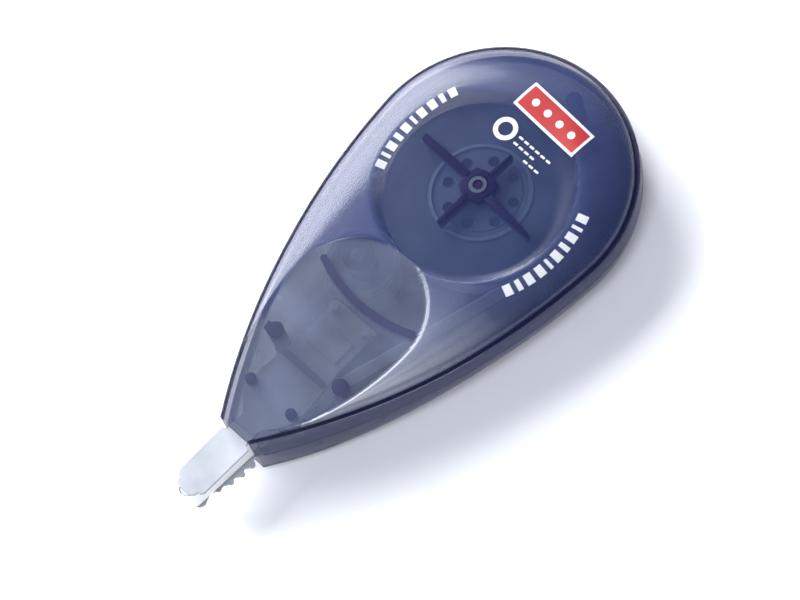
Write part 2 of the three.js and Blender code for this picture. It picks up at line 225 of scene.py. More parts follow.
def plastic(name, colour, roughness=0.35, grain=900.0, bump=0.04, spread=0.12, alpha=1.0,
            transmission=0.0, coat=0.0, subsurface=0.0):
    """Moulded plastic: faint mottling, uneven gloss and a fine moulded grain."""
    material, nodes, links, shader = node_material(name)
    coordinate = nodes.new("ShaderNodeTexCoord")
    mottle = nodes.new("ShaderNodeTexNoise")
    mottle.inputs["Scale"].default_value = 140.0
    mottle.inputs["Detail"].default_value = 4.0
    fine = nodes.new("ShaderNodeTexNoise")
    fine.inputs["Scale"].default_value = grain
    fine.inputs["Detail"].default_value = 3.0
    links.new(coordinate.outputs["Object"], mottle.inputs["Vector"])
    links.new(coordinate.outputs["Object"], fine.inputs["Vector"])
    ramp = nodes.new("ShaderNodeValToRGB")
    low = [c * (1 - spread) for c in colour]
    high = [min(1.0, c * (1 + spread)) for c in colour]
    ramp.color_ramp.elements[0].position = 0.3
    ramp.color_ramp.elements[0].color = (*low, 1)
    ramp.color_ramp.elements[1].position = 0.7
    ramp.color_ramp.elements[1].color = (*high, 1)
    links.new(mottle.outputs["Fac"], ramp.inputs["Fac"])
    links.new(ramp.outputs["Color"], shader.inputs["Base Color"])
    gloss = nodes.new("ShaderNodeMapRange")
    gloss.inputs["To Min"].default_value = roughness * 0.8
    gloss.inputs["To Max"].default_value = min(1.0, roughness * 1.25)
    links.new(mottle.outputs["Fac"], gloss.inputs["Value"])
    links.new(gloss.outputs["Result"], shader.inputs["Roughness"])
    if bump:
        relief = nodes.new("ShaderNodeBump")
        relief.inputs["Strength"].default_value = bump
        relief.inputs["Distance"].default_value = 0.0002
        links.new(fine.outputs["Fac"], relief.inputs["Height"])
        links.new(relief.outputs["Normal"], shader.inputs["Normal"])
    shader.inputs["Alpha"].default_value = alpha
    shader.inputs["Transmission Weight"].default_value = transmission
    shader.inputs["Coat Weight"].default_value = coat
    shader.inputs["Subsurface Weight"].default_value = subsurface
    shader.inputs["Subsurface Radius"].default_value = (0.001, 0.001, 0.001)
    return material


def see_through(name, colour, alpha, roughness=0.26, specular=0.75, **look):
    """Tinted clear plastic, as thick as its alpha says."""
    material = plastic(name, colour, roughness, alpha=alpha, **look)
    material.node_tree.nodes["Principled BSDF"].inputs["Specular IOR Level"].default_value = specular
    return material


def painted_light_towards_tip(material, colour):
    """Paints light on the dome: fades it to a paler tint along the side that faces the groove, towards the
    tip.
    """
    nodes, links = material.node_tree.nodes, material.node_tree.links
    shader = nodes["Principled BSDF"]
    coordinate = nodes.new("ShaderNodeTexCoord")
    axes = nodes.new("ShaderNodeSeparateXYZ")
    links.new(coordinate.outputs["Object"], axes.inputs["Vector"])
    share = nodes.new("ShaderNodeMath")
    share.operation = "MULTIPLY"
    for k, (axis, start, end) in enumerate((("X", -0.010, 0.016), ("Y", 0.001, 0.007))):
        fade = nodes.new("ShaderNodeMapRange")
        fade.interpolation_type = "SMOOTHSTEP"
        fade.inputs["From Min"].default_value = start
        fade.inputs["From Max"].default_value = end
        links.new(axes.outputs[axis], fade.inputs["Value"])
        links.new(fade.outputs["Result"], share.inputs[k])
    mix = nodes.new("ShaderNodeMix")
    mix.data_type = "RGBA"
    mix.inputs["B"].default_value = (*colour, 1)
    base = shader.inputs["Base Color"].links[0].from_socket
    links.new(share.outputs["Value"], mix.inputs["Factor"])
    links.new(base, mix.inputs["A"])
    links.new(mix.outputs["Result"], shader.inputs["Base Color"])
    return material


tint = see_through("tint", (0.025, 0.034, 0.112), 0.62, bump=0.02)
# The thumb rest: a real rougher, frosted finish, with a lighter tint painted for the light the tilted rest
# reflects.
frost_and_painted_light = see_through("frost_and_painted_light", (0.036, 0.046, 0.115), 0.52, 0.36, 0.5, bump=0.06, spread=0.25)
# Near-black, nearly opaque tint: painted shade for the dark line in the groove, also laid on the nose wall.
crease_shade = see_through("crease_shade", (0.012, 0.010, 0.055), 0.92, 0.35, 0.4, bump=0.0)
# The front dome's tint with painted light: a paler patch near the tip on the groove side.
dome_tint_painted_light = painted_light_towards_tip(see_through("dome_tint_painted_light", (0.025, 0.034, 0.112), 0.62, bump=0.02),
                              (0.30, 0.32, 0.40))
window = see_through("window", (0.011, 0.018, 0.078), 0.45, 0.26, 0.35, bump=0.02)
inner_tint = see_through("inner_tint", (0.09, 0.145, 0.31), 0.55, 0.5, 0.2, bump=0.0)
inner_dish = see_through("inner_dish", (0.065, 0.10, 0.22), 0.30, 0.5, 0.2, bump=0.0)
inner_frost = see_through("inner_frost", (0.21, 0.26, 0.33), 0.48, 0.6, 0.2, bump=0.0, spread=0.35)
rib_tint = see_through("rib_tint", (0.012, 0.006, 0.050), 1.0, 0.5, 0.1, bump=0.02)
axle_tint = plastic("axle_tint", (0.028, 0.042, 0.085), 0.35)
navy_web = plastic("navy_web", (0.085, 0.13, 0.22), 0.42)
navy = plastic("navy", (0.06, 0.095, 0.17), 0.42)
# Pale navy: the take-up reel's own colour, and a painted highlight on the supply flange's ring.
pale_navy_and_highlight = plastic("pale_navy_and_highlight", (0.15, 0.21, 0.32), 0.42)
white = plastic("white", (0.35, 0.375, 0.42), 0.38, spread=0.18, subsurface=0.15)
solid_white = plastic("solid_white", (0.60, 0.64, 0.70), 0.4)
film = plastic("film", (0.88, 0.89, 0.88), 0.75, grain=3000.0, bump=0.05, spread=0.03)
carrier = plastic("carrier", (0.45, 0.50, 0.56), 0.3, spread=0.05, alpha=0.75)
wound_film = plastic("wound_film", (0.80, 0.82, 0.83), 0.7, spread=0.05)
steel = plastic("steel", (0.60, 0.61, 0.63), 0.3, spread=0.1)
steel.node_tree.nodes["Principled BSDF"].inputs["Metallic"].default_value = 1.0
label_red = plastic("label_red", (0.33, 0.018, 0.020), 0.35, bump=0.0, spread=0.04)
label_white = plastic("label_white", (0.56, 0.58, 0.62), 0.4, bump=0.0, spread=0.03)


# ---- Shell form ----
nose_dx = NOSE_X - END_X
nose_reach = math.hypot(nose_dx, NOSE_HALF)
arc_offset = SIDE_R - END_R
toward_nose = (SIDE_R ** 2 - arc_offset ** 2 - nose_reach ** 2) / (2 * arc_offset * nose_reach)
TOUCH_ANGLE = math.atan2(NOSE_HALF, nose_dx) + math.acos(toward_nose)
ARC_X = END_X - arc_offset * math.cos(TOUCH_ANGLE)
ARC_Y = -arc_offset * math.sin(TOUCH_ANGLE)
facet_drop = FACET_R - FACET_NOSE_HALF
FACET_ARC_R = ((NOSE_X - FACET_X) ** 2 + facet_drop ** 2) / (2 * facet_drop)


def half_width(x, inset):
    """Half width of the outline at x, moved inwards by inset."""
    on_end = x < END_X + (END_R - inset) * math.cos(TOUCH_ANGLE)
    end = np.sqrt(np.maximum(0, (END_R - inset) ** 2 - (x - END_X) ** 2))
    side = ARC_Y + np.sqrt(np.maximum(0, (SIDE_R - inset) ** 2 - (x - ARC_X) ** 2))
    return np.where(on_end, end, np.maximum(side, 0))


def outline_distance(x, y):
    """How far a point lies inside the shells' outline."""
    y = np.abs(y)
    end = END_R - np.hypot(x - END_X, y)
    side = SIDE_R - np.hypot(x - ARC_X, y - ARC_Y)
    return np.where(np.arctan2(y, x - END_X) > TOUCH_ANGLE, end, side)


def along(x, start):
    return np.clip((x - start) / (NOSE_X - start), 0, 1)


def band_height(form, x):
    """Top of the upright band round the edge."""
    return form.band + (BAND_NOSE - form.band) * along(x, form.grows_from) ** 1.2


def top_height(x):
    return HALF_THICKNESS + (TOP_NOSE - HALF_THICKNESS) * along(x, LAND_END_X)


def facet_distance(x, y):
    """How far a point lies inside the thumb rest's outline."""
    y = np.abs(y)
    circle = FACET_R - np.hypot(x - FACET_X, y)
    side = FACET_ARC_R - np.hypot(x - FACET_X, y + FACET_ARC_R - FACET_R)
    return np.where(x < FACET_X, circle, side)


def slope_width(form, x):
    """Width of the dome: down to the thumb rest's edge, or at most the form's slope."""
    facet_half = FACET_R - FACET_ARC_R + np.sqrt(FACET_ARC_R ** 2 - np.maximum(0, x - FACET_X) ** 2)
    to_facet = SIDE_R - np.hypot(x - ARC_X, facet_half - ARC_Y) + np.maximum(0, END_X + 6 - x)
    softness = 0.35
    return -softness * np.log(np.exp(-form.slope / softness) + np.exp(-to_facet / softness))


def surface_height(form, x, y, smooth):
    """The smooth form's height with the dish and the thumb rest sunk into it."""
    radius, angle = np.hypot(x, y), np.arctan2(y, x)
    lip = form.lip + 5.0 * ((1 - np.cos(angle)) / 2) ** 1.5
    dished = smooth - DISH_DEPTH * (1 - smoothstep(form.dish_r - lip, form.dish_r, radius))
    floor = top_height(x) - FACET_DEPTH * (1 - 0.8 * along(x, LAND_END_X))
    share = smoothstep(-0.05, 0.45, facet_distance(x, y))
    return dished * (1 - share) + np.minimum(dished, floor) * share


def skin_height(x, y, form=FRONT):
    """Height of a finished skin over a point inside the dome."""
    width = np.maximum(slope_width(form, x) - form.ledge, 0.02)
    share = np.clip((outline_distance(x, y) - form.ledge) / width, 0, 1)
    rise = np.sqrt(1 - (1 - share) ** 2)
    smooth = band_height(form, x) + (top_height(x) - band_height(form, x)) * rise
    return surface_height(form, x, y, smooth)


def shell_levels(form, inner):
    """Levels from the joint plane up: (inset, height, whether the painted-shade groove starts there)."""
    def level(inset, height, crease_shade=False):
        return (lambda x: inset + 0 * x, lambda x: height(x) + 0 * x, crease_shade)

    skin = WALL if inner else 0.0
    dome_steps = 12 if inner else 44

    def band(rise):
        return lambda x: band_height(form, x) + rise

    if inner:
        levels = [level(skin, lambda x: SEAM),
                  level(skin, lambda x: np.maximum(band_height(form, x) - skin, SEAM + 0.05))]
    elif form.side > 0:
        levels = [level(0.06, lambda x: SEAM), level(0.0, lambda x: SEAM + 0.08),
                  level(0.0, lambda x: 0.5 * band_height(form, x)),
                  level(0.0, band(-0.25)), level(0.04, band(-0.10)), level(0.13, band(-0.03)),
                  # The groove is real; its levels take the near-black material that paints shade in it.
                  level(0.22, band(-0.10), True), level(0.27, band(-0.40), True),
                  level(0.62, band(-0.42), True), level(0.70, band(-0.15), True)]
    else:
        levels = [level(0.06, lambda x: SEAM), level(0.0, lambda x: SEAM + 0.08),
                  level(0.0, lambda x: 0.5 * band_height(form, x) + 0.05)]
    for k in range(dome_steps + 1):
        angle = k / dome_steps * math.pi / 2
        share, rise = 1 - math.cos(angle), math.sin(angle)

        def inset(x, share=share):
            return skin + form.ledge + share * np.maximum(slope_width(form, x) - form.ledge, 0.02)

        def height(x, rise=rise, k=k):
            free = band_height(form, x) + (top_height(x) - band_height(form, x)) * rise - skin
            return np.maximum(free, SEAM + 0.06 + 0.01 * k)
        levels.append((inset, height, False))
    return levels


def shell_sheet(form, inner):
    """Grid points of one skin, from one joint edge over the top to the other."""
    end_count, side_count = (60, 150) if inner else (90, 210)
    across = 50 if inner else 84
    last_x = NOSE_X - (WALL if inner else 0.0)
    rows = []
    levels = shell_levels(form, inner)
    for inset, height, _ in levels:
        radius = END_R - float(inset(np.array(END_X - END_R)))
        angles = np.linspace(math.pi, TOUCH_ANGLE, end_count + 1)
        end_x = END_X + radius * np.cos(angles)
        side_x = np.linspace(end_x[-1], last_x, side_count + 1)[1:]
        x = np.concatenate([end_x, side_x])
        y = half_width(x, inset(x))
        y[0] = 0.0
        rows.append(np.stack([x, y, height(x) + 0 * x], 1))
    side = np.array(rows)
    share = np.linspace(1, -1, across + 1)[1:-1]
    top = np.stack([side[-1] * [1, t, 1] for t in share])
    grid = np.concatenate([side, top, side[::-1] * [1, -1, 1]])
    if not inner:
        x, y, z = grid[..., 0], grid[..., 1], grid[..., 2]
        over_band = z > band_height(form, x) + 0.3
        grid[..., 2] = np.where(over_band, surface_height(form, x, y, z), z)
    return grid, [crease_shade for _, _, crease_shade in levels]


SKINS = [tint, frost_and_painted_light, crease_shade, inner_tint, inner_dish, inner_frost, window, dome_tint_painted_light]
TINT, FROST_AND_PAINTED_LIGHT, CREASE_SHADE, INNER_TINT, INNER_DISH, INNER_FROST, WINDOW, DOME_TINT_PAINTED_LIGHT = range(len(SKINS))
FIRST_DOME_LEVEL = 10
PAINTED_SHADE_NOSE_X = 41


def shell_mesh(name, form):
    """Closed shell: outer skin, inner skin, the joint's rim and the nose wall."""
    outer, crease_shades = shell_sheet(form, False)
    inner, _ = shell_sheet(form, True)
    points, faces, kinds = [], [], []

    def add_grid(grid, flip, kind_of):
        rows, columns = grid.shape[:2]
        start = len(points)
        points.extend(grid.reshape(-1, 3).tolist())
        for r in range(rows - 1):
            for c in range(columns - 1):
                a, b = start + r * columns + c, start + r * columns + c + 1
                d, e = a + columns, b + columns
                faces.append((a, d, e, b) if flip else (a, b, e, d))
                kinds.append(kind_of(r, c, grid))
        return start

    def outer_kind(r, c, grid):
        level = min(r, grid.shape[0] - 2 - r)
        if level < len(crease_shades) and crease_shades[level]:
            return CREASE_SHADE
        if level < FIRST_DOME_LEVEL:
            return TINT
        x, y = grid[r, c, 0], grid[r, c, 1]
        # Painted shade: the strip between the rest and the outline on the -y side near the nose takes the
        # near-black groove material.
        if x > PAINTED_SHADE_NOSE_X and y < 0 and facet_distance(x, y) < 0.1:
            return CREASE_SHADE
        if math.hypot(x, y) < form.dish_r - 1.0:
            return WINDOW
        if facet_distance(x, y) > 0.2:
            return FROST_AND_PAINTED_LIGHT
        # Front dome outside the dish and the rest: the tint that carries the painted light near the tip.
        return DOME_TINT_PAINTED_LIGHT if form.side > 0 else TINT

    def inner_kind(r, c, grid):
        x, y = grid[r, c, 0], grid[r, c, 1]
        if facet_distance(x, y) > 0.0:
            return INNER_FROST
        return INNER_DISH if math.hypot(x, y) < form.dish_r - 1.0 else INNER_TINT

    outer_start = add_grid(outer, False, outer_kind)
    inner_start = add_grid(inner, True, inner_kind)

    def loop(start, grid):
        """Joint edge from the nose's +y corner round the back to its -y corner."""
        rows, columns = grid.shape[:2]
        first = [start + c for c in range(columns - 1, -1, -1)]
        last = [start + (rows - 1) * columns + c for c in range(1, columns)]
        return first + last

    def nose(start, grid):
        rows, columns = grid.shape[:2]
        return [start + r * columns + columns - 1 for r in range(rows)]

    def bridge(loop_a, loop_b, kind):
        """Faces between two open loops of different counts."""
        i = j = 0
        while i < len(loop_a) - 1 or j < len(loop_b) - 1:
            next_a = (i + 1) / (len(loop_a) - 1) if i < len(loop_a) - 1 else 2
            next_b = (j + 1) / (len(loop_b) - 1) if j < len(loop_b) - 1 else 2
            if next_a <= next_b:
                faces.append((loop_a[i], loop_a[i + 1], loop_b[j]))
                i += 1
            else:
                faces.append((loop_a[i], loop_b[j + 1], loop_b[j]))
                j += 1
            kinds.append(kind)

    bridge(loop(outer_start, outer), loop(inner_start, inner), TINT)
    nose_outer, nose_inner = nose(outer_start, outer), nose(inner_start, inner)
    # The nose wall takes the same painted-shade material.
    faces.append(tuple(nose_outer))
    kinds.append(CREASE_SHADE)
    faces.append(tuple(reversed(nose_inner)))
    kinds.append(INNER_TINT)
    end_outer = [nose_outer[0], nose_outer[-1]]
    end_inner = [nose_inner[0], nose_inner[-1]]
    faces.append((end_outer[0], end_inner[0], end_inner[1], end_outer[1]))
    kinds.append(TINT)
    points = np.array(points)
    if form.side < 0:
        points = points * [1, -1, -1]  # half a turn about X
    shell = mesh_object(name, points, faces, SKINS, kinds, 50)
    weld = shell.modifiers.new("weld", "WELD")
    weld.merge_threshold = 1e-7
    apply_modifiers(shell)
    return shell


def shell(name, node, form):
    body = shell_mesh(name, form)
    side = form.side
    opening = block("opening", NOSE_X - 3, NOSE_X + 1, -2.3, 2.3, *sorted((-side, side * 3.1)), crease_shade)
    hub_hole = bar("hub_hole", 1.65, *sorted((side * 2.0, side * 8.0)), (0, 0), crease_shade)
    cut_with(body, opening, hub_hole)
    return keep(body, "housing", node)


def keep(piece, body, *nodes, slot="tinted_shell"):
    """Lets a piece ride on its body and stand for its nodes. Its slot is not used."""
    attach(piece, body)
    if nodes:
        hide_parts(*nodes)
    return piece


shell("front_shell_skin", "front_shell", FRONT)
shell("rear_shell_skin", "rear_shell", REAR)


# ---- Ribs, bosses and posts moulded under the shells' skins ----
def tapered(name, start, end, start_width, end_width, low, high):
    """A straight rib between two plan points, rounded along its edges."""
    (x0, y0), (x1, y1) = start, end
    length = math.hypot(x1 - x0, y1 - y0)
    nx, ny = -(y1 - y0) / length / 2, (x1 - x0) / length / 2
    outline = [
        (x0 - nx * start_width, y0 - ny * start_width),
        (x1 - nx * end_width, y1 - ny * end_width),
        (x1 + nx * end_width, y1 + ny * end_width),
        (x0 + nx * start_width, y0 + ny * start_width),
    ]
    return rounded(plate(name, outline, low, high, rib_tint), 0.12)


def curved_rib(low, high):
    """The bow under the thumb rest, with round ends."""
    half = RIB_HALF_ANGLE
    width = 1.1
    upper = (RIB_R * math.cos(half), RIB_R * math.sin(half))
    lower = (upper[0], -upper[1])
    outline = arc((0, 0), RIB_R + width / 2, -half, half, 32)
    outline += arc(upper, width / 2, half, half + math.pi, 8)[1:]
    outline += arc((0, 0), RIB_R - width / 2, half, -half, 32)[1:]
    outline += arc(lower, width / 2, math.pi - half, 2 * math.pi - half, 8)[1:-1]
    return plate("curved", outline, low, high, rib_tint)


def inner_ribs(name, side):
    """Cross ribs, axle boss, curved rib, posts and seats of one shell."""
    def span(near, far):
        return sorted((side * near, side * far))

    rib_end = 3.5 if side > 0 else 4.6
    cross = span(rib_end, 5.85)
    boss = [(2.0, -2.2), (2.7, 0), (2.0, 2.2), (0, 2.8)]
    boss += [(-x, -y) for x, y in boss]
    parts = [
        rounded(plate("boss", boss, *cross, rib_tint), 0.2),
        tapered("arm", (0.4, 2.0), (1.0, 11.2), 1.5, 0.6, *cross),
        tapered("arm", (-0.3, -2.0), (-0.5, -12.0), 1.2, 1.0, *cross),
        tapered("arm", (2.0, -0.2), (8.2, -0.4), 1.0, 0.6, *cross),
        tapered("arm", (-2.0, 0.1), (-6.8, 0.3), 0.7, 0.3, *cross),
        curved_rib(*span(rib_end, 5.6)),
    ]
    for x, y, top in POSTS:
        parts.append(rounded(bar("post", 1.25, *span(0.3, top), (x, y), rib_tint, 40), 0.15))
        if y:
            outwards = math.copysign(1.7, y)
            parts.append(tapered("gusset", (x, y), (x + 0.3, y + outwards), 1.7, 1.3, *span(3.0, top - 0.1)))
    for y in (-4.3, 4.3):
        parts.append(rounded(bar("press", 0.85, *span(3.15, 4.9), (GUIDE_X, y), rib_tint, 32), 0.1))
    seat = [(1.3, 4.4), (2.4, 4.4), (2.5, 4.8), (1.3, 4.8)]
    parts.append(turned("seat", [(r, side * z) for r, z in seat], rib_tint, TAKE_UP, 48))
    parts.append(rounded(block("rest", 37, 38, -4.5, 4.5, *span(3.15, 4.1), rib_tint), 0.15))
    return keep(joined(name, parts), "housing")


inner_ribs("front_inner_ribs", 1)
inner_ribs("rear_inner_ribs", -1)


# ---- Supply reel ----
def gear_outline(teeth, phase, module=0.5):
    """Involute teeth, slightly thin so that they run with play."""
    pitch = module * teeth / 2
    base = pitch * math.cos(math.radians(20))
    root, tip = pitch - 0.6, pitch + 0.4

    def involute(radius):
        pressure = math.acos(min(1.0, base / radius))
        return math.tan(pressure) - pressure

    def half_angle(radius):
        return 0.30 / pitch + involute(pitch) - involute(radius)

    radii = [root, root + 0.12, root + 0.35, pitch, pitch + 0.22, tip]
    rising = [(radii[0], half_angle(radii[1]) + 0.10 / pitch)] + [(r, half_angle(r)) for r in radii[1:]]
    outline = []
    for i in range(teeth):
        middle = phase + 2 * math.pi * i / teeth
        for radius, half in rising:
            outline.append((radius * math.cos(middle - half), radius * math.sin(middle - half)))
        for radius, half in reversed(rising):
            outline.append((radius * math.cos(middle + half), radius * math.sin(middle + half)))
    return outline


def moved(outline, centre):
    return [(x + centre[0], y + centre[1]) for x, y in outline]


MESH_ANGLE = math.atan2(TAKE_UP[1], TAKE_UP[0])
SUPPLY_TEETH, TAKE_UP_TEETH = 60, 22


def ring_of_holes(count, hole_r, ring_r, low, high, material, sides=48, first=0.0):
    """Cutting bars evenly spaced on a circle round the supply reel's axis."""
    bars = []
    for i in range(count):
        angle = (i + first) * 2 * math.pi / count
        centre = (ring_r * math.cos(angle), ring_r * math.sin(angle))
        bars.append(bar("hole", hole_r, low, high, centre, material, sides))
    return bars


def supply_axle():
    profile = [(0.8, -6.0), (1.35, -6.0), (1.5, -5.8), (1.5, 5.8), (1.35, 6.0), (0.8, 6.0)]
    axle = turned("supply_axle_post", profile, axle_tint)
    keep(axle, "housing", "supply_axle", slot="blue_reel")


def supply_core():
    core = turned("supply_reel_core", [
        (1.6, -4.4), (3.0, -4.4), (3.0, -0.6), (6.6, -0.6), (6.6, -2.2), (6.7, -2.3), (CORE_R, -2.3),
        (CORE_R, 2.3), (6.7, 2.3), (6.6, 2.2), (6.6, 0.6), (3.0, 0.6), (3.0, 3.3), (1.6, 3.3)], navy)
    keep(core, "supply_reel", "supply_core", slot="blue_reel")


def supply_flange():
    """The disc over the roll, with a raised ring painted pale as a highlight and a web with round windows.
    """
    flange = turned("supply_reel_flange", [
        (7.4, 2.5), (14.6, 2.5), (14.8, 2.6), (14.8, 2.9), (14.6, 3.0), (7.4, 3.0)], navy)
    # A real raised ring, painted pale as a highlight on its rim.
    ring = turned("supply_flange_highlight_ring", [
        (7.3, 2.5), (7.4, 2.5), (7.4, 3.0), (8.0, 3.0), (7.9, 3.3), (7.4, 3.35), (7.3, 3.2)], pale_navy_and_highlight)
    web = turned("supply_flange_web", [
        (3.1, 2.5), (7.3, 2.5), (7.3, 3.0), (6.4, 3.0), (6.3, 3.2), (4.0, 3.2), (3.9, 3.3), (3.1, 3.3)],
        navy_web)
    cut_with(web, *ring_of_holes(8, 0.85, 5.3, 2, 4, navy_web, 32, first=0.5))
    for piece in (flange, ring, web):
        keep(piece, "supply_reel", "supply_flange", slot="blue_reel")


def supply_roll():
    roll = turned("supply_tape_roll", [
        (CORE_R + 0.05, -2.1), (ROLL_R - 0.05, -2.1), (ROLL_R, -2.05), (ROLL_R, 2.05), (ROLL_R - 0.05, 2.1),
        (CORE_R + 0.05, 2.1)], wound_film)
    keep(roll, "supply_reel", "supply_tape", slot="correction_film")


def supply_drive():
    """The large gear and the spring ring that lets the core slip on it."""
    wheel = plate("supply_reel_gear", gear_outline(SUPPLY_TEETH, MESH_ANGLE), GEAR_LOW, GEAR_HIGH, navy)
    bore = bar("bore", 3.1, -6, 0, (0, 0), navy)
    cut_with(wheel, bore, *ring_of_holes(6, 2.2, 10.4, -6, 0, navy))
    keep(rounded(wheel, 0.06, 1), "supply_reel", "supply_gear", slot="blue_reel")
    clutch = turned("slip_clutch_ring", [(4.0, -2.9), (6.2, -2.75), (6.2, -2.6), (4.0, -2.75)], steel)
    keep(clutch, "supply_reel", "clutch_ring", slot="steel")


def take_up_reel():
    axle = bar("take_up_post", 1.2, -5.1, 5.1, TAKE_UP, navy)
    keep(rounded(axle, 0.15), "housing", "take_up_axle", slot="blue_reel")
    phase = MESH_ANGLE + math.pi + math.pi / TAKE_UP_TEETH
    outline = moved(gear_outline(TAKE_UP_TEETH, phase), TAKE_UP)
    wheel = plate("wheel", outline, GEAR_LOW, GEAR_HIGH, pale_navy_and_highlight)
    cut_with(wheel, bar("bore", 1.3, -6, 0, TAKE_UP, pale_navy_and_highlight))
    profile = [(1.3, GEAR_HIGH), (2.2, GEAR_HIGH), (2.2, 2.1), (2.1, 2.2), (1.3, 2.2)]
    tube = turned("tube", profile, pale_navy_and_highlight, TAKE_UP, 48)
    gear = joined("take_up_reel_gear", [rounded(wheel, 0.05, 1), tube])
    keep(gear, "take_up_reel", "take_up_gear", slot="white_plastic")
    core = turned("take_up_reel_core", [
        (2.3, -0.6), (4.6, -0.6), (4.6, -2.2), (4.7, -2.3), (5.4, -2.3), (5.4, 2.3), (4.7, 2.3), (4.6, 2.2),
        (4.6, 0.6), (2.3, 0.6)], pale_navy_and_highlight, TAKE_UP)
    keep(core, "take_up_reel", "take_up_core", slot="white_plastic")
    profile = [(5.45, -2.1), (TAKE_UP_ROLL_R, -2.1), (TAKE_UP_ROLL_R, 2.1), (5.45, 2.1)]
    wound = turned("take_up_wound_tape", profile, carrier, TAKE_UP)
    keep(wound, "take_up_reel", "take_up_tape", slot="carrier_film")


# ---- Tape runs ----
def tangent(a, b):
    """The line that touches two circles, each (centre, radius, side)."""
    (ax, ay), ar, a_side = a
    (bx, by), br, b_side = b
    dx, dy = bx - ax, by - ay
    lift = b_side * br - a_side * ar
    angle = math.atan2(dy, dx) + math.asin(lift / math.hypot(dx, dy))
    nx, ny = -math.sin(angle), math.cos(angle)
    start = (ax + a_side * ar * nx, ay + a_side * ar * ny)
    end = (bx + b_side * br * nx, by + b_side * br * ny)
    return start, end, angle


def ribbon(name, path, material, thickness=0.12):
    left, right = [], []
    for i, point in enumerate(path):
        before, after = path[max(0, i - 1)], path[min(len(path) - 1, i + 1)]
        length = math.hypot(after[0] - before[0], after[1] - before[1])
        nx, ny = -(after[1] - before[1]) / length, (after[0] - before[0]) / length
        left.append((point[0] + nx * thickness / 2, point[1] + ny * thickness / 2))
        right.append((point[0] - nx * thickness / 2, point[1] - ny * thickness / 2))
    return plate(name, right + left[::-1], -TAPE_WIDTH / 2, TAPE_WIDTH / 2, material)


def tape_runs():
    """Fresh tape over the feed guide to the tip, and empty carrier back to the take-up reel."""
    supply = ((0, 0), ROLL_R + TAPE_OFF, 1)
    feed = (FEED_GUIDE, GUIDE_R + TAPE_OFF, -1)
    tip = (TIP, TIP_R + TAPE_OFF, 1)
    back = (RETURN_GUIDE, GUIDE_R + TAPE_OFF, 1)
    take_up = (TAKE_UP, TAKE_UP_ROLL_R + TAPE_OFF, -1)
    quarter = math.pi / 2
    leave, _, to_feed = tangent(supply, feed)
    _, _, to_tip = tangent(feed, tip)
    path = [leave] + arc(FEED_GUIDE, GUIDE_R + TAPE_OFF, to_feed - quarter, to_tip - quarter, 8)
    path += arc(TIP, TIP_R + TAPE_OFF, to_tip + quarter, 0.02, 20)
    keep(ribbon("tape_feed_run", path, film), "housing", "tape_feed", slot="correction_film")
    _, _, to_back = tangent(tip, back)
    _, finish, to_take_up = tangent(back, take_up)
    path = arc(TIP, TIP_R + TAPE_OFF, -0.06, to_back + quarter, 20)
    path += arc(RETURN_GUIDE, GUIDE_R + TAPE_OFF, to_back + quarter, to_take_up + quarter, 8) + [finish]
    keep(ribbon("tape_return_run", path, carrier), "housing", "tape_return", slot="carrier_film")


# ---- Head ----
GUARD_HALF, NECK_HALF = 2.7, 2.0
PIN_R = 0.55


def head_outline(guard_edge):
    half = [(26.3, 4.2), (34, 4.2), (41, 5), (45.4, 5), (48.4, NECK_HALF), (NOSE_X + 0.3, NECK_HALF)]
    half += guard_edge + arc((TIP[0] - 0.4, 0.7), 1.2, math.pi / 2, 0, 12)
    return [(x, -y) for x, y in half] + half[::-1]


def pin_holes(low, high):
    centres = (FEED_GUIDE, RETURN_GUIDE, TIP)
    return [bar("hole", PIN_R + 0.1, low, high, centre, white) for centre in centres]


def head_frame():
    """Rear guard plate with a saw edge, and the blade between the plates."""
    teeth, pitch = 4, 2.0
    edge = [(NOSE_X + 0.6, GUARD_HALF)]
    for i in range(teeth):
        x, y = NOSE_X + 1.2 + i * pitch, GUARD_HALF + 0.45 - 0.12 * i ** 2
        edge += arc((x, y - 0.5), 0.5, math.pi * 0.75, 0.1, 6)
        edge += arc((x + 0.62 * pitch, y - 0.45), 0.4, math.pi * 1.1, math.pi * 1.7, 5)
    rear = plate("rear", head_outline(edge), -PLATE_OUT, -PLATE_IN, white)
    cut_with(rear, *pin_holes(-PLATE_OUT + 0.15, 0))
    outline = [(46.4, 1.2), (46.6, -1.3), (48.6, -1.6), (60.3, -1.0), (60.3, 1.0), (48.6, 1.4)]
    blade = plate("blade", outline, -PLATE_IN - 0.05, PLATE_IN - 0.1, white)
    frame_piece = steady(joined("head_frame_blade", [rounded(rear, 0.08), rounded(blade, 0.12)]))
    keep(frame_piece, "housing", "head_frame", slot="white_plastic")


def head_cover():
    """Front guard plate with its raised step and two pegs."""
    edge = [(NOSE_X + 0.6, GUARD_HALF + 0.1), (TIP[0] - 1.0, GUARD_HALF), (TIP[0] - 0.4, GUARD_HALF - 0.4)]
    front = plate("front", head_outline(edge), PLATE_IN, PLATE_OUT, white)
    cut_with(front, *pin_holes(0, PLATE_OUT - 0.15))
    step = block("step", 30, 34, -3, 3, PLATE_OUT - 0.05, PLATE_OUT + 0.35, white)
    parts = [rounded(front, 0.08), rounded(step, 0.1)]
    for y in (-3.2, 3.2):
        parts.append(rounded(bar("peg", 0.8, PLATE_OUT - 0.05, 4.6, (27.6, y), white), 0.12))
    keep(steady(joined("head_cover_plate", parts)), "housing", "head_cover", slot="white_plastic")


def head_roller(label, body, centre, radius):
    """A roller on its steel pin, between the head plates."""
    profile = [(0.65, -2.15), (radius - 0.1, -2.15), (radius, -2.05)]
    profile += [(radius, 1.95), (radius - 0.1, 2.05), (0.65, 2.05)]
    wheel = turned(f"{label}_wheel", profile, solid_white, centre, 64)
    keep(wheel, body, f"{label}_roller", slot="white_plastic")
    reach = PLATE_OUT - 0.2
    pin = rounded(bar(f"{label}_steel_pin", PIN_R, -reach, reach, centre, steel, 32), 0.1)
    keep(pin, "housing", f"{label}_pin", slot="steel")


